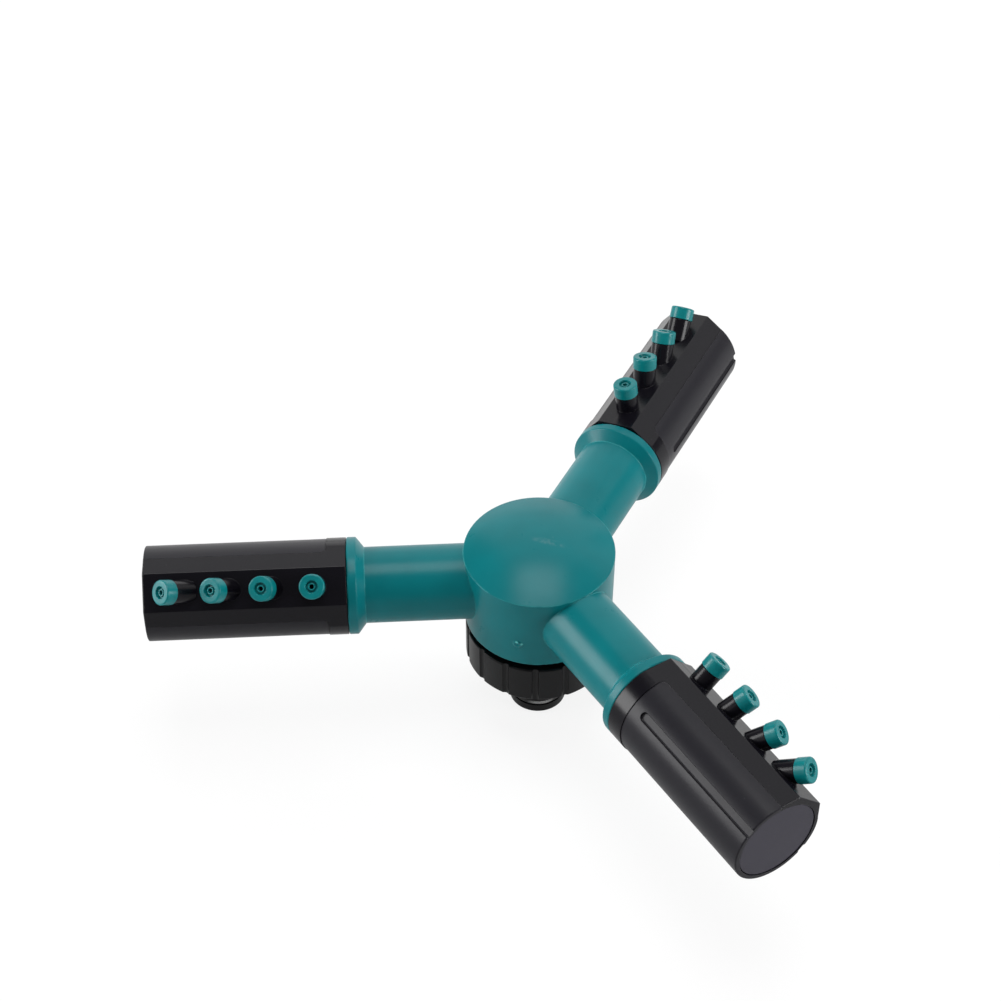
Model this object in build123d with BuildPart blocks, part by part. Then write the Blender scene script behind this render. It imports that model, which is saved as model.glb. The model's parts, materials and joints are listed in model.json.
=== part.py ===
from build123d import *
import os
from math import cos, degrees, radians, sin

# Three-arm rotary sprinkler on a push-in hose nipple. Millimetres, +Z up.
# The origin is the centre of the connector's underside, where the nipple leaves it.
# The hub turns about Z, and the arms lie level at arm_height.
os.makedirs("parts", exist_ok=True)

# Arms: direction about Z from +X, and how far each nozzle row is rolled up from level
arm_reach = 102.0
arm_height = 26.4
arm_angles = {"left": 180.0, "front": 300.0, "rear": 60.0}
head_rolls = {"left": 47.0, "front": 44.0, "rear": 81.0}

# Hub: drafted side, low dome, open underside
hub_bottom = 13.8
hub_bottom_radius = 19.45
hub_rim_height = 36.5
hub_rim_radius = 19.75
dome_rise = 4.7
rim_round = 0.45
chamber_radius = 16.8
chamber_top = 35.0
gate_angle = 250.0
gate_height = 21.5
gate_radius = 1.35
gate_crest_radius = 0.95
gate_dimple_radius = 0.65
gate_rise = 0.35
gate_dimple_depth = 0.2
gate_root = 1.0
gate_round = 0.1

# Arm tube, flare and collar
tube_radius = 9.95
tube_start = 8.0
flare_start = 45.4
collar_start = 47.5
collar_end = 49.9
collar_radius = 12.67
collar_round = 0.4
arm_bore_radius = 6.4

# Spigot on the end of each arm, inside the head
spigot_radius = 8.8
spigot_end = 56.6
spigot_round = 0.3
seal_groove_start = 51.2
seal_groove_end = 53.2
seal_groove_radius = 7.5
ring_groove_start = 54.8
ring_groove_end = 55.8
ring_groove_radius = 7.8
retaining_ring_radius = 9.6

# Spray head: round at the back, three facets at the nozzle side
head_start = 50.05
head_radius = 12.43
ring_end = 55.0
ring_radius = 12.65
flat_distance = 12.6
facet_angle = 45.0
flat_edge_round = 0.5
end_chamfer = 0.3
socket_radius = 8.85
socket_end = 54.6
head_chamber_radius = 9.9
end_recess_radius = 11.15
end_recess_start = 99.6

# Grip sleeve let into the head behind the facets
sleeve_inner_radius = 11.2
sleeve_gap = 0.06
sleeve_corner = 1.8
sleeve_end_round = 0.35
grip_groove_width = 2.5
grip_groove_floor = 11.68
grip_groove_round = 0.45
grip_groove_setback = 0.35
grip_groove_start = 59.6

# End cap
cap_disc_radius = 11.08
cap_disc_face = 101.85
cap_plug_radius = 9.85
cap_plug_wall = 1.5
cap_plug_start = 95.6
cap_disc_thickness = 2.8
cap_edge_round = 0.25
cap_plug_round = 0.3

# Nozzles, from the hub outwards: foot on the flat, tilt away from the hub
nozzle_count = 4
nozzle_first = 58.2
nozzle_pitch = 11.15
nozzle_first_tilt = 3.0
nozzle_tilt_step = 14.0
nozzle_length = 7.6
post_radius = 3.05
post_root = 2.0
post_spigot_radius = 2.3
post_round = 0.15
passage_radius = 1.3
passage_depth = 5.0
jet_cap_radius = 3.25
jet_cap_length = 3.35
jet_cap_round = 0.45
jet_cap_foot_round = 0.15
jet_cap_face = 1.6
jet_dish_radius = 1.65
jet_dish_floor_radius = 1.4
jet_dish_depth = 0.9
jet_dish_round = 0.15
jet_boss_radius = 1.0
jet_boss_rise = 0.55
jet_boss_round = 0.12
jet_hole_radius = 0.6
push_fit_gap = 0.05

# Connector: fluted nut above, hose nipple below
nut_radius = 19.35
nut_height = 11.5
nut_edge_round = 0.5
nut_web = 2.4
thread_radius = 13.2
flute_count = 15
flute_radius = 1.1
flute_rise = 0.5
flute_angle = 288.0
nipple_length = 18.8
nipple_radius = 7.6
nipple_bore_radius = 4.6
nipple_tip_chamfer = 0.5
nipple_groove_low = -16.0
nipple_groove_high = -14.3
nipple_groove_radius = 5.92
nipple_ring_thickness = 1.6
catch_low = -9.6
catch_high = -5.2
catch_slope = 0.7
catch_radius = 6.5
inlet_washer_radius = 13.0
inlet_washer_round = 0.2

# Spindle and the pieces that hold the hub on it
spindle_bore_radius = 5.2
spindle_low = 4.4
spindle_top = 22.3
spindle_thread_radius = 13.1
spindle_radius = 8.5
spindle_flange_radius = 15.4
spindle_flange_low = 11.55
spindle_flange_top = 12.9
spindle_round = 0.4
clip_groove_low = 19.3
clip_groove_top = 20.5
clip_groove_radius = 7.2
clip_outer_radius = 11.0
clip_gap_angle = 40.0
bush_low = 14.3
bush_top = 18.4
bush_radius = 16.75
bush_bore_radius = 8.55
bush_groove_low = 15.6
bush_groove_top = 17.2
bush_groove_radius = 10.3
bush_round = 0.3
seal_round = 0.5
thrust_washer_inner_radius = 8.8
thrust_washer_outer_radius = 12.5
thrust_washer_top = 19.2
seal_clearance = 0.02

# How far a cutting shape runs past what it cuts, and the slack in picking an edge by its place
cut_over = 1.0
pick_slack = 0.01


def arm_plane(arm):
    """Arm frame: x along the turning direction, y up, z out along the arm."""
    angle = radians(arm_angles[arm])
    return Plane(
        origin=(0, 0, arm_height),
        x_dir=(-sin(angle), cos(angle), 0),
        z_dir=(cos(angle), sin(angle), 0),
    )


def rolled(plane, angle):
    """The same frame, rolled about its own z by an angle in degrees."""
    turn = radians(angle)
    return Plane(
        origin=plane.origin,
        x_dir=plane.x_dir * cos(turn) + plane.y_dir * sin(turn),
        z_dir=plane.z_dir,
    )


def head_plane(arm):
    """Head frame: x square to the nozzle flat, z out along the arm."""
    return rolled(arm_plane(arm), head_rolls[arm])


def nozzle_plane(arm, index):
    """Nozzle frame: origin at the foot on the flat, z along the jet."""
    head = head_plane(arm)
    tilt = radians(nozzle_first_tilt + nozzle_tilt_step * index)
    foot = head.from_local_coords((flat_distance, 0, nozzle_first + nozzle_pitch * index))
    return Plane(
        origin=foot,
        x_dir=head.y_dir,
        z_dir=head.x_dir * cos(tilt) + head.z_dir * sin(tilt),
    )


def profile_plane(plane):
    """Sketch plane of a turned profile: x is the radius, y the height along the axis."""
    return Plane(origin=plane.origin, x_dir=plane.x_dir, z_dir=-plane.y_dir)


def turning_axis(plane):
    return Axis(plane.origin, plane.z_dir)


def turn_profile(plane, corners, arc=360.0):
    """Revolve a closed profile of (radius, height, corner rounding) about a frame's z."""
    with BuildSketch(profile_plane(plane)) as profile:
        with BuildLine():
            FilletPolyline(
                *[(radius, height) for radius, height, rounding in corners],
                radius=[rounding for radius, height, rounding in corners],
                close=True,
            )
        make_face()
    revolve(profile.sketch, axis=turning_axis(plane), revolution_arc=arc)


def ring_corners(inner, outer, low, high, rounding=0.0):
    """Corners of a plain ring's section."""
    return [
        (inner, low, rounding),
        (outer, low, rounding),
        (outer, high, rounding),
        (inner, high, rounding),
    ]


def save(part, name):
    part.label = name
    export_step(part, f"parts/{name}.step")


# Stationary pieces
with BuildPart() as quick_connector:
    turn_profile(
        Plane.XY,
        [
            (nipple_bore_radius, -nipple_length, 0),
            (nipple_radius - nipple_tip_chamfer, -nipple_length, 0),
            (nipple_radius, -nipple_length + nipple_tip_chamfer, 0),
            (nipple_radius, nipple_groove_low, 0),
            (nipple_groove_radius, nipple_groove_low, 0),
            (nipple_groove_radius, nipple_groove_high, 0),
            (nipple_radius, nipple_groove_high, 0),
            (nipple_radius, catch_low, 0),
            (catch_radius, catch_low + catch_slope, 0),
            (catch_radius, catch_high - catch_slope, 0),
            (nipple_radius, catch_high, 0),
            (nipple_radius, 0, 0),
            (nut_radius, 0, nut_edge_round),
            (nut_radius, nut_height, nut_edge_round),
            (thread_radius, nut_height, nut_edge_round),
            (thread_radius, nut_web, 0),
            (nipple_bore_radius, nut_web, 0),
        ],
    )
    with BuildSketch():
        with PolarLocations(nut_radius + flute_rise, flute_count, start_angle=flute_angle):
            Circle(flute_radius)
    extrude(amount=nut_height, mode=Mode.SUBTRACT)
save(quick_connector.part, "quick_connector")

with BuildPart() as nipple_o_ring:
    with Locations((0, 0, (nipple_groove_low + nipple_groove_high) / 2)):
        Torus(nipple_radius - push_fit_gap - nipple_ring_thickness / 2, nipple_ring_thickness / 2)
save(nipple_o_ring.part, "nipple_o_ring")

with BuildPart() as inlet_washer:
    turn_profile(
        Plane.XY,
        ring_corners(spindle_bore_radius, inlet_washer_radius, nut_web, spindle_low, inlet_washer_round),
    )
save(inlet_washer.part, "inlet_washer")

with BuildPart() as spindle:
    turn_profile(
        Plane.XY,
        [
            (spindle_bore_radius, spindle_low, 0),
            (spindle_thread_radius, spindle_low, spindle_round),
            (spindle_thread_radius, spindle_flange_low, 0),
            (spindle_flange_radius, spindle_flange_low, spindle_round),
            (spindle_flange_radius, spindle_flange_top, spindle_round),
            (spindle_radius, spindle_flange_top, spindle_round),
            (spindle_radius, clip_groove_low, 0),
            (clip_groove_radius, clip_groove_low, 0),
            (clip_groove_radius, clip_groove_top, 0),
            (spindle_radius, clip_groove_top, 0),
            (spindle_radius, spindle_top, spindle_round),
            (spindle_bore_radius, spindle_top, 0),
        ],
    )
save(spindle.part, "spindle")

with BuildPart() as spindle_clip:
    turn_profile(
        Plane.XY,
        ring_corners(
            clip_groove_radius + push_fit_gap,
            clip_outer_radius,
            clip_groove_low + push_fit_gap,
            clip_groove_top - push_fit_gap,
        ),
        arc=360.0 - clip_gap_angle,
    )
save(spindle_clip.part, "spindle_clip")


# Rotor
with BuildPart() as hub_body:
    with BuildSketch(Plane.XZ):
        with BuildLine():
            side = Polyline(
                (0, hub_rim_height + dome_rise),
                (0, hub_bottom),
                (hub_bottom_radius, hub_bottom),
                (hub_rim_radius, hub_rim_height),
            )
            dome_radius = (hub_rim_radius**2 + dome_rise**2) / (2 * dome_rise)
            RadiusArc(side @ 1, side @ 0, -dome_radius)
        make_face()
    revolve(axis=Axis.Z)
    rings = hub_body.edges().filter_by(GeomType.CIRCLE).sort_by(Axis.Z)
    fillet([rings[0], rings[-1]], rim_round)
    for arm in arm_angles:
        turn_profile(
            arm_plane(arm),
            [
                (0, tube_start, 0),
                (tube_radius, tube_start, 0),
                (tube_radius, flare_start, 0),
                (collar_radius, collar_start, collar_round),
                (collar_radius, collar_end, collar_round),
                (spigot_radius, collar_end, 0),
                (spigot_radius, seal_groove_start, 0),
                (seal_groove_radius, seal_groove_start, 0),
                (seal_groove_radius, seal_groove_end, 0),
                (spigot_radius, seal_groove_end, 0),
                (spigot_radius, ring_groove_start, 0),
                (ring_groove_radius, ring_groove_start, 0),
                (ring_groove_radius, ring_groove_end, 0),
                (spigot_radius, ring_groove_end, 0),
                (spigot_radius, spigot_end, spigot_round),
                (0, spigot_end, 0),
            ],
        )
    with BuildSketch(Plane.XY.offset(hub_bottom)):
        Circle(chamber_radius)
    extrude(amount=chamber_top - hub_bottom, mode=Mode.SUBTRACT)
    for arm in arm_angles:
        with BuildSketch(arm_plane(arm)):
            Circle(arm_bore_radius)
        extrude(amount=spigot_end, mode=Mode.SUBTRACT)
    gate_direction = Vector(1, 0, 0).rotate(Axis.Z, gate_angle)
    gate_foot = gate_direction * hub_bottom_radius + Vector(0, 0, gate_height)
    turn_profile(
        Plane(origin=gate_foot, z_dir=gate_direction),
        [
            (0, -gate_root, 0),
            (gate_radius, -gate_root, 0),
            (gate_radius, 0, 0),
            (gate_crest_radius, gate_rise, gate_round),
            (gate_dimple_radius, gate_rise, gate_round),
            (0, gate_rise - gate_dimple_depth, 0),
        ],
    )
save(hub_body.part, "hub_body")

with BuildPart() as bearing_bush:
    turn_profile(
        Plane.XY,
        [
            (bush_bore_radius, bush_low, bush_round),
            (bush_radius, bush_low, bush_round),
            (bush_radius, bush_top, bush_round),
            (bush_bore_radius, bush_top, 0),
            (bush_bore_radius, bush_groove_top, 0),
            (bush_groove_radius, bush_groove_top, 0),
            (bush_groove_radius, bush_groove_low, 0),
            (bush_bore_radius, bush_groove_low, 0),
        ],
    )
save(bearing_bush.part, "bearing_bush")

with BuildPart() as spindle_seal:
    turn_profile(
        Plane.XY,
        ring_corners(
            bush_bore_radius,
            bush_groove_radius - push_fit_gap,
            bush_groove_low + push_fit_gap,
            bush_groove_top - push_fit_gap,
            rounding=seal_round,
        ),
    )
save(spindle_seal.part, "spindle_seal")

with BuildPart() as thrust_washer:
    turn_profile(
        Plane.XY,
        ring_corners(thrust_washer_inner_radius, thrust_washer_outer_radius, bush_top, thrust_washer_top),
    )
save(thrust_washer.part, "thrust_washer")


def make_spigot_o_ring(arm):
    with BuildPart() as o_ring:
        turn_profile(
            arm_plane(arm),
            ring_corners(
                seal_groove_radius,
                spigot_radius - seal_clearance,
                seal_groove_start + push_fit_gap,
                seal_groove_end - push_fit_gap,
                rounding=seal_round,
            ),
        )
    return o_ring.part


def make_retaining_ring(arm):
    with BuildPart() as ring:
        turn_profile(
            arm_plane(arm),
            ring_corners(
                ring_groove_radius + push_fit_gap,
                retaining_ring_radius,
                ring_groove_start + push_fit_gap,
                ring_groove_end - push_fit_gap,
            ),
            arc=360.0 - clip_gap_angle,
        )
    return ring.part


# Spray heads
def facet_outline():
    """Nozzle side of a head's section: the flat, and the two facets that run tangent to the back."""
    lean = radians(facet_angle)
    tangent_x = head_radius * cos(lean)
    tangent_y = head_radius * sin(lean)
    half_flat = (head_radius - flat_distance * cos(lean)) / sin(lean)
    with BuildLine() as outline:
        FilletPolyline(
            (0, 0),
            (tangent_x, -tangent_y),
            (flat_distance, -half_flat),
            (flat_distance, half_flat),
            (tangent_x, tangent_y),
            radius=[0, 0, flat_edge_round, flat_edge_round, 0],
            close=True,
        )
    make_face(outline.edges())


def make_inlay(arm, inner, outer, start, end, gap_angle, corner, end_round):
    """C-shaped shell round the back of a head, with its two inner corners rounded."""
    edge = rolled(head_plane(arm), facet_angle + gap_angle)
    with BuildPart() as shell:
        turn_profile(
            edge,
            [(inner, start, 0), (outer, start, 0), (outer, end, end_round), (inner, end, 0)],
            arc=360.0 - 2 * (facet_angle + gap_angle),
        )
        corners = [
            line
            for line in shell.edges().filter_by(GeomType.LINE)
            if abs(edge.to_local_coords(line.center()).Z - start) < pick_slack
        ]
        fillet(corners, corner)
    return shell.part


def make_head_body(arm):
    head = head_plane(arm)
    inlay = make_inlay(
        arm,
        inner=end_recess_radius,
        outer=ring_radius + cut_over,
        start=ring_end,
        end=arm_reach + cut_over,
        gap_angle=0,
        corner=sleeve_corner + sleeve_gap,
        end_round=0,
    )
    with BuildPart() as body:
        with BuildSketch(head.offset(ring_end)):
            Circle(head_radius)
            facet_outline()
        extrude(amount=arm_reach - ring_end)
        outer_end = body.faces().sort_by(turning_axis(head))[-1]
        chamfer(outer_end.edges(), end_chamfer)
        with BuildSketch(head.offset(head_start)):
            Circle(ring_radius)
            facet_outline()
            with PolarLocations(head_radius + ring_radius, 2, -facet_angle, 2 * facet_angle, endpoint=True):
                Rectangle(2 * ring_radius, 4 * ring_radius, mode=Mode.SUBTRACT)
        extrude(amount=ring_end - head_start)
        add(inlay, mode=Mode.SUBTRACT)
        for index in range(nozzle_count):
            post_top = nozzle_length - jet_cap_length - push_fit_gap
            spigot_top = nozzle_length - jet_cap_face - push_fit_gap
            turn_profile(
                nozzle_plane(arm, index),
                [
                    (0, -post_root, 0),
                    (post_radius, -post_root, 0),
                    (post_radius, post_top, post_round),
                    (post_spigot_radius, post_top, 0),
                    (post_spigot_radius, spigot_top, post_round),
                    (0, spigot_top, 0),
                ],
            )
        with BuildSketch(head.offset(head_start)):
            Circle(socket_radius)
        extrude(amount=socket_end - head_start, mode=Mode.SUBTRACT)
        with BuildSketch(head.offset(socket_end)):
            Circle(head_chamber_radius)
        extrude(amount=arm_reach - socket_end, mode=Mode.SUBTRACT)
        with BuildSketch(head.offset(end_recess_start)):
            Circle(end_recess_radius)
        extrude(amount=arm_reach - end_recess_start, mode=Mode.SUBTRACT)
        for index in range(nozzle_count):
            with BuildSketch(nozzle_plane(arm, index).offset(-passage_depth)):
                Circle(passage_radius)
            extrude(amount=passage_depth + nozzle_length, mode=Mode.SUBTRACT)
    return body.part


def make_grip_groove(head, side):
    """Round-ended slot along one side of a sleeve, open at the outer end, with a rounded floor."""
    floor = Plane(
        origin=head.from_local_coords((-grip_groove_setback, side * grip_groove_floor, 0)),
        x_dir=head.z_dir,
        z_dir=head.y_dir * side,
    )
    length = arm_reach + grip_groove_width - grip_groove_start
    with BuildPart() as groove:
        with BuildSketch(floor):
            with Locations((grip_groove_start + length / 2, 0)):
                SlotCenterToCenter(length, grip_groove_width)
        extrude(amount=grip_groove_width)
        floor_edges = groove.faces().sort_by(Axis(floor.origin, floor.z_dir))[0].edges()
        fillet(floor_edges, grip_groove_round)
    return groove.part


def make_grip_sleeve(arm):
    head = head_plane(arm)
    shell = make_inlay(
        arm,
        inner=sleeve_inner_radius,
        outer=head_radius,
        start=ring_end + sleeve_gap,
        end=arm_reach,
        gap_angle=degrees(sleeve_gap / head_radius),
        corner=sleeve_corner,
        end_round=sleeve_end_round,
    )
    with BuildPart() as sleeve:
        add(shell)
        for side in (-1, 1):
            add(make_grip_groove(head, side), mode=Mode.SUBTRACT)
    return sleeve.part


def make_end_cap(arm):
    with BuildPart() as cap:
        turn_profile(
            head_plane(arm),
            [
                (0, cap_disc_face - cap_disc_thickness, 0),
                (cap_plug_radius - cap_plug_wall, cap_disc_face - cap_disc_thickness, 0),
                (cap_plug_radius - cap_plug_wall, cap_plug_start, 0),
                (cap_plug_radius, cap_plug_start, cap_plug_round),
                (cap_plug_radius, end_recess_start + push_fit_gap, 0),
                (cap_disc_radius, end_recess_start + push_fit_gap, 0),
                (cap_disc_radius, cap_disc_face, cap_edge_round),
                (0, cap_disc_face, 0),
            ],
        )
    return cap.part


def make_nozzle_cap(arm, index):
    foot = nozzle_length - jet_cap_length
    dish_floor = nozzle_length - jet_dish_depth
    with BuildPart() as cap:
        turn_profile(
            nozzle_plane(arm, index),
            [
                (post_spigot_radius + push_fit_gap, foot, 0),
                (jet_cap_radius, foot, jet_cap_foot_round),
                (jet_cap_radius, nozzle_length, jet_cap_round),
                (jet_dish_radius, nozzle_length, jet_dish_round),
                (jet_dish_floor_radius, dish_floor, 0),
                (jet_boss_radius, dish_floor, 0),
                (jet_boss_radius, dish_floor + jet_boss_rise, jet_boss_round),
                (jet_hole_radius, dish_floor + jet_boss_rise, jet_boss_round),
                (jet_hole_radius, nozzle_length - jet_cap_face, 0),
                (post_spigot_radius + push_fit_gap, nozzle_length - jet_cap_face, 0),
            ],
        )
    return cap.part


for arm in arm_angles:
    save(make_spigot_o_ring(arm), f"spigot_o_ring_{arm}")
    save(make_retaining_ring(arm), f"retaining_ring_{arm}")
    save(make_head_body(arm), f"head_body_{arm}")
    save(make_grip_sleeve(arm), f"grip_sleeve_{arm}")
    save(make_end_cap(arm), f"end_cap_{arm}")
    for index in range(nozzle_count):
        save(make_nozzle_cap(arm, index), f"nozzle_cap_{arm}_{index + 1}")
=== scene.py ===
import json
import math
import bpy
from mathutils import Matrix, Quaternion, Vector


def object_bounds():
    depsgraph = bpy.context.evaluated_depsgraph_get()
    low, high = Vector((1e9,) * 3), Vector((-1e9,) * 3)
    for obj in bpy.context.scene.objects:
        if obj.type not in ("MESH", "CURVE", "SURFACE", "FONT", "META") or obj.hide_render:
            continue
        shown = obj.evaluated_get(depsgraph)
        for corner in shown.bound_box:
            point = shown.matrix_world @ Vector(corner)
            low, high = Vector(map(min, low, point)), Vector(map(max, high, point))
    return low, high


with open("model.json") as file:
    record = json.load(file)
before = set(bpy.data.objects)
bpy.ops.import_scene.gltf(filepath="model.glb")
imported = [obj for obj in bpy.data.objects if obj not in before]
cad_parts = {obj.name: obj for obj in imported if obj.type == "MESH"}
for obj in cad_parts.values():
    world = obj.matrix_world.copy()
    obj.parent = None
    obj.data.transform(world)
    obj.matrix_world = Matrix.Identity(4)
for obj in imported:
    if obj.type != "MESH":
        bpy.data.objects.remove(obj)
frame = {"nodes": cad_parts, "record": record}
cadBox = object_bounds()
nodes = frame["nodes"]
scene = bpy.context.scene
scene.view_settings.view_transform = "Standard"


class Socket:  # one output of a node, arithmetic on it adds Math nodes
    def __init__(self, look, output):
        self.look = look
        self.output = output

    def math(self, operation, first, second=0.0):
        return self.look.node("ShaderNodeMath", {"operation": operation}, {0: first, 1: second})

    def __add__(self, other):
        return self.math("ADD", self, other)

    def __radd__(self, other):
        return self.math("ADD", other, self)

    def __sub__(self, other):
        return self.math("SUBTRACT", self, other)

    def __rsub__(self, other):
        return self.math("SUBTRACT", other, self)

    def __mul__(self, other):
        return self.math("MULTIPLY", self, other)

    def __rmul__(self, other):
        return self.math("MULTIPLY", other, self)

    def rise(self, low, high):  # smooth step from 0 at low to 1 at high
        settings = {"interpolation_type": "SMOOTHSTEP"}
        return self.look.node("ShaderNodeMapRange", settings, {0: self, 1: low, 2: high})


class Look:  # the node tree of a material or of the world
    def __init__(self, owner):
        owner.use_nodes = True
        self.owner = owner
        self.tree = owner.node_tree
        self.tree.nodes.clear()

    def node(self, kind, settings=None, sockets=None, out=0):
        made = self.tree.nodes.new(kind)
        for name, value in (settings or {}).items():
            setattr(made, name, value)
        for key, value in (sockets or {}).items():
            if isinstance(value, Socket):
                self.tree.links.new(value.output, made.inputs[key])
            else:
                made.inputs[key].default_value = value
        return Socket(self, made.outputs[out]) if made.outputs else None

    def vectorMath(self, operation, first, second=(0, 0, 0), out="Vector"):
        return self.node("ShaderNodeVectorMath", {"operation": operation}, {0: first, 1: second}, out)

    def place(self):  # the piece's own coordinates, in metres
        return self.node("ShaderNodeTexCoord", out="Object")

    def noise(self, size, detail=2.0, roughness=0.5):  # size of its blobs, in metres
        sockets = {"Vector": self.place(), "Scale": 1 / size, "Detail": detail, "Roughness": roughness}
        return self.node("ShaderNodeTexNoise", None, sockets)

    def mix(self, factor, first, second):  # a Mix node's colours are its sockets 6 and 7 and output 2
        return self.node("ShaderNodeMix", {"data_type": "RGBA"}, {0: factor, 6: first, 7: second}, out=2)

    def softEdges(self, radius, samples=4):  # normal with the sharp edges rounded
        return self.node("ShaderNodeBevel", {"samples": samples}, {"Radius": radius})

    def edgeMask(self, rounded, low=0.01, high=0.12):  # 1 along edges, 0 on plain faces
        plain = self.node("ShaderNodeNewGeometry", out="Normal")
        return (1 - self.vectorMath("DOT_PRODUCT", rounded, plain, "Value")).rise(low, high)

    def bump(self, height, depth, normal):  # depth in metres for a height from 0 to 1
        sockets = {"Strength": 1.0, "Distance": depth, "Height": height, "Normal": normal}
        return self.node("ShaderNodeBump", None, sockets)

    def surface(self, **sockets):
        named = {name.replace("_", " "): value for name, value in sockets.items()}
        shader = self.node("ShaderNodeBsdfPrincipled", None, named)
        self.node("ShaderNodeOutputMaterial", None, {"Surface": shader})
        return self.owner


def newLook(name):
    return Look(bpy.data.materials.new(name))


tealSettings = {  # sizes and depths in metres
    "deep": (0.0006, 0.126, 0.141, 1),
    "pale": (0.0010, 0.142, 0.159, 1),
    "mottle": 0.014,
    "mottleFade": (0.3, 0.7),
    "dust": (0.16, 0.27, 0.28, 1),
    "dustShare": 0.16,
    "speck": 0.0007,
    "speckFade": (0.66, 0.78),
    "smudge": 0.0049,
    "smudgeFade": (0.4, 0.65),
    "smudgeRoughness": 0.10,
    "grain": 0.00028,
    "grainDepth": 0.000004,
    "grainRoughness": 0.03,
    "roughness": 0.28,
    "specular": 0.16,
    # lighter edge colour: part wear, part a painted highlight along rims and seams
    "wornAndHighlit": (0.055, 0.340, 0.345, 1),
    "edgeRadius": 0.00045,
    "edgeShare": 0.85,
    "edgeBreak": 0.004,
    "edgeFade": (0.30, 0.60),
    "markRoughness": 0.4,
}


def mouldedTeal(name, settings, marks=()):
    look = newLook(name)
    mottle = look.noise(settings["mottle"], detail=3.0).rise(*settings["mottleFade"])
    smudge = look.noise(settings["smudge"], detail=4.0, roughness=0.6)
    grain = look.noise(settings["grain"], detail=1.0)
    rounded = look.softEdges(settings["edgeRadius"])
    edge = look.edgeMask(rounded) * look.noise(settings["edgeBreak"]).rise(*settings["edgeFade"])
    specks = look.noise(settings["speck"], roughness=0.7).rise(*settings["speckFade"])
    specks = specks * smudge.rise(*settings["smudgeFade"])
    colour = look.mix(mottle, settings["deep"], settings["pale"])
    colour = look.mix(specks * settings["dustShare"], colour, settings["dust"])
    # edges: part wear, part a painted highlight along rims and seams
    colour = look.mix(edge * settings["edgeShare"], colour, settings["wornAndHighlit"])
    roughness = (smudge - 0.5) * settings["smudgeRoughness"] + settings["roughness"]
    roughness = grain * settings["grainRoughness"] + roughness
    # marks: a real scuff, and painted highlights put in as lighter colour
    for mark in marks:
        share, rubbedAndHighlit = mark(look)
        colour = look.mix(share, colour, rubbedAndHighlit)
        roughness = share * settings["markRoughness"] + roughness
    return look.surface(
        Base_Color=colour,
        Roughness=roughness,
        Specular_IOR_Level=settings["specular"],
        Normal=look.bump(grain, settings["grainDepth"], rounded),
    )


scuffSettings = {  # one rubbed streak across the middle of the dome
    "middle": (0.0026, -0.0013, 0.0411),
    "reaches": (((0.95, -0.31, 0), 0.0060), ((0.31, 0.95, 0), 0.0013), ((0, 0, 1), 0.0020)),
    "streak": 0.0018,
    "streakFade": (0.38, 0.72),
    "colour": (0.30, 0.34, 0.35, 1),
    "share": 0.20,
}


def patch(look, middle, reaches):  # 1 at the middle, 0 past the reach along each direction
    place = look.vectorMath("SUBTRACT", look.place(), middle)
    spread = 0
    for direction, reach in reaches:
        part = look.vectorMath("DOT_PRODUCT", place, direction, "Value") * (1 / reach)
        spread = part * part + spread
    return 1 - spread.rise(0.0, 1.0)


def domeScuff(look):
    streaks = look.noise(scuffSettings["streak"], detail=4.0, roughness=0.7)
    streaks = streaks.rise(*scuffSettings["streakFade"])
    rubbedAndHighlit = patch(look, scuffSettings["middle"], scuffSettings["reaches"])
    return rubbedAndHighlit * streaks * scuffSettings["share"], scuffSettings["colour"]


gateHighlightSettings = {  # painted highlight: two lighter spots on the gate mark, low on the hub's front
    "middles": ((-0.00692, -0.01855, 0.02224), (-0.00565, -0.01883, 0.02170)),
    "reaches": (((1, 0, 0), 0.0005), ((0, 1, 0), 0.0005), ((0, 0, 1), 0.0005)),
    "colour": (0.12, 0.52, 0.50, 1),
    "share": 0.90,
}


def gatePaintedHighlight(look):
    left, right = (patch(look, middle, gateHighlightSettings["reaches"]) for middle in gateHighlightSettings["middles"])
    return (left + right) * gateHighlightSettings["share"], gateHighlightSettings["colour"]


nozzleSettings = dict(
    tealSettings,
    deep=(0.0012, 0.138, 0.148, 1),
    pale=(0.0020, 0.162, 0.171, 1),
    mottle=0.003,
    smudge=0.00105,
    grain=0.0002,
    grainDepth=0.000002,
    roughness=0.24,
    specular=0.26,
    edgeRadius=0.00015,
    edgeShare=0.4,
)

blackSettings = {
    "colour": (0.0044, 0.0040, 0.0062, 1),
    "dust": (0.12, 0.12, 0.125, 1),
    "dustShare": 0.2,
    "speck": 0.0009,
    "speckFade": (0.72, 0.80),
    "smudge": 0.007,
    "smudgeRoughness": 0.08,
    "grain": 0.00025,
    "grainDepth": 0.000002,
    "grainRoughness": 0.03,
    "roughness": 0.20,
    "specular": 0.185,
    "wornAndHighlit": (0.030, 0.030, 0.033, 1),
    "edgeRadius": 0.0002,
    "edgeShare": 0.35,
    "edgeBreak": 0.002,
    "edgeFade": (0.3, 0.7),
}


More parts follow.
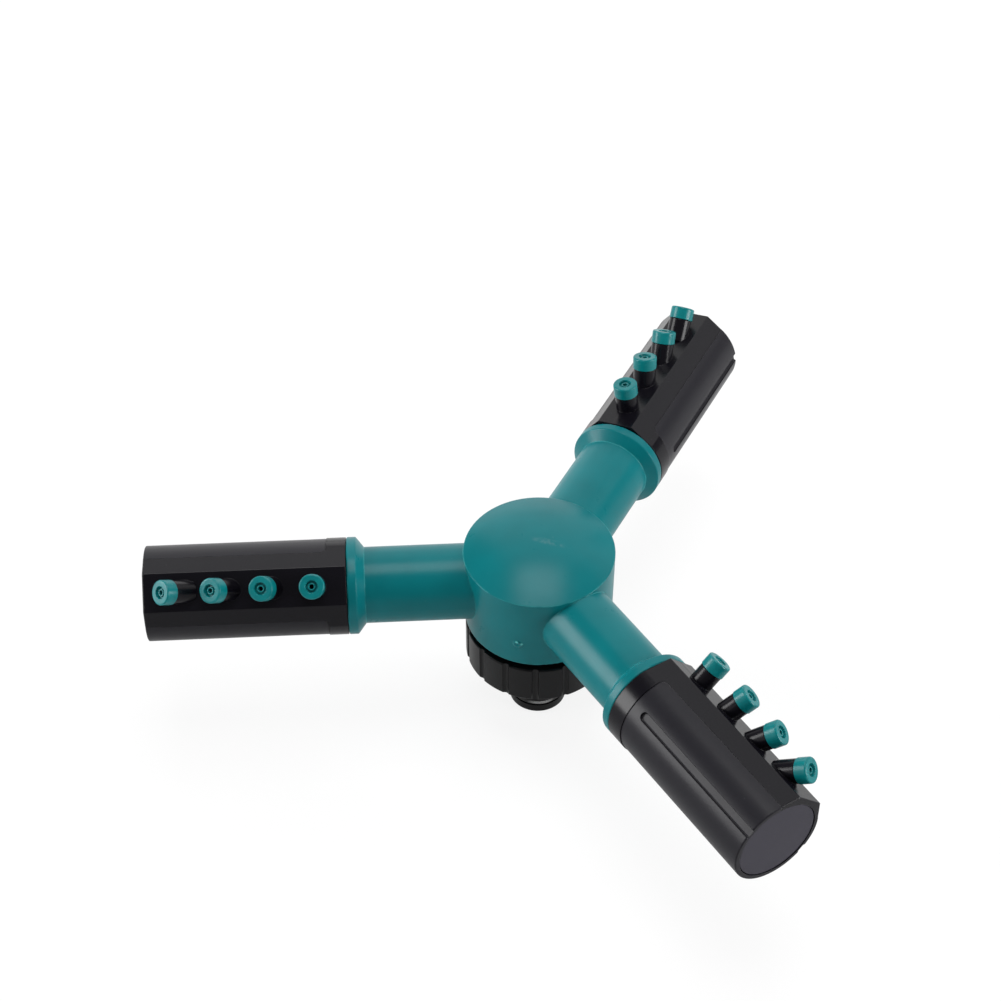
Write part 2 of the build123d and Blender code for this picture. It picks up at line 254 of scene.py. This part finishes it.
def mouldedBlack(name, settings, marks=()):
    look = newLook(name)
    smudge = look.noise(settings["smudge"], detail=4.0, roughness=0.6)
    grain = look.noise(settings["grain"], detail=1.0)
    specks = look.noise(settings["speck"], roughness=0.7).rise(*settings["speckFade"])
    rounded = look.softEdges(settings["edgeRadius"])
    edge = look.edgeMask(rounded) * look.noise(settings["edgeBreak"]).rise(*settings["edgeFade"])
    colour = look.mix(specks * settings["dustShare"], settings["colour"], settings["dust"])
    # edges: part wear, part a painted highlight along rims and seams
    colour = look.mix(edge * settings["edgeShare"], colour, settings["wornAndHighlit"])
    roughness = (smudge - 0.5) * settings["smudgeRoughness"] + settings["roughness"]
    # marks, such as the painted highlight on the seal ring, put in as lighter colour
    for mark in marks:
        share, rubbedAndHighlit = mark(look)
        colour = look.mix(share, colour, rubbedAndHighlit)
    return look.surface(
        Base_Color=colour,
        Roughness=grain * settings["grainRoughness"] + roughness,
        Specular_IOR_Level=settings["specular"],
        Normal=look.bump(grain, settings["grainDepth"], rounded),
    )


satinSettings = dict(
    blackSettings,
    colour=(0.0152, 0.0146, 0.0182, 1),
    wornAndHighlit=(0.060, 0.058, 0.064, 1),
    edgeShare=0.7,
    grain=0.0003,
    grainDepth=0.000004,
    roughness=0.30,
    specular=0.15,
)

capSettings = dict(
    satinSettings,
    colour=(0.0230, 0.0208, 0.0330, 1),
    roughness=0.30,
    specular=0.28,
)

connectorSettings = dict(
    blackSettings,
    colour=(0.0030, 0.0030, 0.0036, 1),
    grainDepth=0.000006,
    roughness=0.28,
    specular=0.21,
)

acetalSettings = dict(
    blackSettings,
    colour=(0.030, 0.030, 0.032, 1),
    roughness=0.32,
    specular=0.4,
    dustShare=0.05,
)

rubberSettings = dict(
    blackSettings,
    colour=(0.010, 0.010, 0.010, 1),
    grainDepth=0.000010,
    roughness=0.45,
    specular=0.4,
    dustShare=0.15,
)

ringHighlightSettings = {  # painted highlight: a lighter patch on the front of the nipple's ring
    "middle": (0.0004, -0.0074, -0.0149),
    "reaches": (((1, 0, 0), 0.0040), ((0, 1, 0), 0.0040), ((0, 0, 1), 0.0009)),
    "colour": (0.26, 0.26, 0.26, 1),
    "share": 0.9,
}


def ringPaintedHighlight(look):
    rubbedAndHighlit = patch(look, ringHighlightSettings["middle"], ringHighlightSettings["reaches"])
    return rubbedAndHighlit * ringHighlightSettings["share"], ringHighlightSettings["colour"]


steelSettings = {
    "colour": (0.56, 0.56, 0.57, 1),
    "dull": (0.40, 0.40, 0.41, 1),
    "blotch": 0.004,
    "blotchFade": (0.4, 0.7),
    "scratch": 0.0004,
    "scratchStretch": (1.0, 1.0, 14.0),
    "scratchDepth": 0.000002,
    "scratchRoughness": 0.2,
    "roughness": 0.28,
    "edgeRadius": 0.0001,
}


def springSteel(name, settings):
    look = newLook(name)
    blotch = look.noise(settings["blotch"]).rise(*settings["blotchFade"])
    stretch = {"Vector": look.place(), "Scale": settings["scratchStretch"]}
    turned = look.node("ShaderNodeMapping", None, stretch)
    scratch = look.node("ShaderNodeTexNoise", None, {"Vector": turned, "Scale": 1 / settings["scratch"]})
    rounded = look.softEdges(settings["edgeRadius"])
    return look.surface(
        Base_Color=look.mix(blotch, settings["colour"], settings["dull"]),
        Metallic=1.0,
        Roughness=scratch * settings["scratchRoughness"] + settings["roughness"],
        Normal=look.bump(scratch, settings["scratchDepth"], rounded),
    )


finishes = {
    "teal_moulding": mouldedTeal("tealMoulding", tealSettings, (domeScuff, gatePaintedHighlight)),
    "nozzle_teal": mouldedTeal("nozzleTeal", nozzleSettings),
    "black_gloss": mouldedBlack("glossBlack", blackSettings),
    "black_satin": mouldedBlack("satinBlack", satinSettings),
    "black_moulding": mouldedBlack("connectorBlack", connectorSettings),
    "acetal": mouldedBlack("darkAcetal", acetalSettings),
    "seal_rubber": mouldedBlack("sealRubber", rubberSettings, (ringPaintedHighlight,)),
    "clip_steel": springSteel("springSteel", steelSettings),
}
endFinish = mouldedBlack("endCapBlack", capSettings)
for piece in frame["record"]["subparts"]:
    mesh = nodes[piece["node"]].data
    mesh.materials.clear()
    isEnd = piece["node"].startswith("end_cap")
    mesh.materials.append(endFinish if isEnd else finishes[piece["material_slot"]])
print("finishes:", len(finishes) + 1)


floorSettings = {
    "size": 12.0,
    "gap": 0.0002,
    "colour": (0.90, 0.90, 0.90, 1),
    "whiteShare": 0.84,
    "shadowReach": (0.3, 1.2),
    "mirrorShare": 0.65,
    # reflected floor brightness is a painted shade, darker toward the front
    "mirrorFront": 0.22,
    "mirrorBack": 1.0,
    "mirrorReach": (-0.15, 0.25),
}


def paleFloor(settings):
    half = settings["size"] / 2
    height = cadBox[0].z - settings["gap"]
    corners = [(-half, -half, height), (half, -half, height), (half, half, height), (-half, half, height)]
    mesh = bpy.data.meshes.new("floor")
    mesh.from_pydata(corners, [], [(0, 1, 2, 3)])
    floor = bpy.data.objects.new("floor", mesh)
    scene.collection.objects.link(floor)
    look = newLook("paleFloor")
    straight = look.node("ShaderNodeLightPath", out="Is Camera Ray")
    mirrored = look.node("ShaderNodeLightPath", out="Is Glossy Ray")
    place = look.node("ShaderNodeNewGeometry", out="Position")
    away = look.vectorMath("LENGTH", place, out="Value")
    bare = away.rise(*settings["shadowReach"]) * (1 - settings["whiteShare"]) + settings["whiteShare"]
    share = straight * bare + mirrored * settings["mirrorShare"]
    # painted shade: in reflections the floor glows less toward the front, from mirrorFront up to
    # mirrorBack
    depth = look.node("ShaderNodeSeparateXYZ", None, {0: place}, out="Y")
    gain = settings["mirrorBack"] - settings["mirrorFront"]
    level = depth.rise(*settings["mirrorReach"]) * gain + settings["mirrorFront"]
    grey = 1 - mirrored * (1 - level)
    lit = look.node("ShaderNodeBsdfDiffuse", None, {"Color": settings["colour"]})
    white = look.node("ShaderNodeEmission", None, {"Color": grey, "Strength": 1.0})
    shown = look.node("ShaderNodeMixShader", None, {0: share, 1: lit, 2: white})
    look.node("ShaderNodeOutputMaterial", None, {"Surface": shown})
    mesh.materials.append(look.owner)


lampSettings = {  # azimuth from +X, both angles in degrees, sizes in metres
    "leftKey": {"azimuth": 177, "elevation": 16, "size": (0.48, 0.60), "radiance": 10.5},
    "leftFront": {"azimuth": 212, "elevation": 16, "size": (0.50, 0.46), "radiance": 0.8},
    "rightFront": {"azimuth": 341, "elevation": 12, "size": (0.52, 0.40), "radiance": 12.0},
    "topKey": {"azimuth": 85, "elevation": 85, "size": (0.52, 0.54), "radiance": 6.2},
    "backTop": {"azimuth": 82, "elevation": 52, "size": (0.90, 0.40), "radiance": 1.2},
    "backMid": {"azimuth": 87, "elevation": 32, "size": (0.95, 0.36), "radiance": 1.35},
    "backLow": {"azimuth": 87, "elevation": 12, "size": (0.95, 0.36), "radiance": 0.8},
    "rightBack": {"azimuth": 32, "elevation": 34, "size": (0.60, 0.50), "radiance": 1.35},
}
lampAim = Vector((0.0, 0.0, 0.03))
lampDistance = 1.0


def softBox(name, settings):
    lamp = bpy.data.lights.new(name, "AREA")
    lamp.shape = "RECTANGLE"
    lamp.size, lamp.size_y = settings["size"]
    lamp.energy = math.pi * lamp.size * lamp.size_y * settings["radiance"]
    box = bpy.data.objects.new(name, lamp)
    scene.collection.objects.link(box)
    turn = math.radians(settings["azimuth"])
    lift = math.radians(settings["elevation"])
    away = Vector((math.cos(turn) * math.cos(lift), math.sin(turn) * math.cos(lift), math.sin(lift)))
    box.location = lampAim + away * lampDistance
    box.rotation_euler = away.to_track_quat("Z", "Y").to_euler()


worldSettings = {  # grey levels of the sky, and of a paler band along its rear horizon
    "front": 0.18,
    "back": 0.15,
    "reach": (-0.5, 0.5),
    "horizonFront": 0.15,
    "horizonBack": 0.90,
    "horizonReach": (0.1, 0.9),
    "bandFade": (0.10, 0.40),
}


def studioWorld(settings):
    look = Look(bpy.data.worlds.new("studio"))
    direction = look.node("ShaderNodeTexCoord", out="Generated")
    height = look.node("ShaderNodeSeparateXYZ", None, {0: direction}, out="Z")
    depth = look.node("ShaderNodeSeparateXYZ", None, {0: direction}, out="Y")
    upper = depth.rise(*settings["reach"]) * (settings["back"] - settings["front"]) + settings["front"]
    band = 1 - height.rise(*settings["bandFade"])
    gain = settings["horizonBack"] - settings["horizonFront"]
    horizon = depth.rise(*settings["horizonReach"]) * gain + settings["horizonFront"]
    grey = (horizon - upper) * band + upper
    straight = look.node("ShaderNodeLightPath", out="Is Camera Ray")
    seen = straight * (1 - grey) + grey  # plain white behind the object
    light = look.node("ShaderNodeBackground", None, {"Color": seen, "Strength": 1.0})
    look.node("ShaderNodeOutputWorld", None, {"Surface": light})
    scene.world = look.owner


paleFloor(floorSettings)
studioWorld(worldSettings)
for name, settings in lampSettings.items():
    softBox(name, settings)
print("stage: floor, world and", len(lampSettings), "lamps")


cameraSettings = {
    "aim": (-0.00925, 0.01481, 0.04078),
    "azimuth": -2.879,
    "elevation": 44.895,
    "distance": 0.6431,
    "roll": -0.189,
    "focalPixels": 2457.6,
    "imagePixels": 1001,
    "clipStart": 0.01,
}


def photoCamera(settings):
    turn = math.radians(settings["azimuth"])
    lift = math.radians(settings["elevation"])
    back = Vector((math.sin(turn) * math.cos(lift), -math.cos(turn) * math.cos(lift), math.sin(lift)))
    data = bpy.data.cameras.new("camera")
    data.lens = settings["focalPixels"] / settings["imagePixels"] * data.sensor_width
    data.clip_start = settings["clipStart"]
    camera = bpy.data.objects.new("camera", data)
    scene.collection.objects.link(camera)
    camera.rotation_mode = "QUATERNION"
    camera.location = Vector(settings["aim"]) + back * settings["distance"]
    level = (-back).to_track_quat("-Z", "Y")
    camera.rotation_quaternion = level @ Quaternion((0, 0, 1), math.radians(settings["roll"]))
    scene.camera = camera


photoCamera(cameraSettings)
print("camera set")
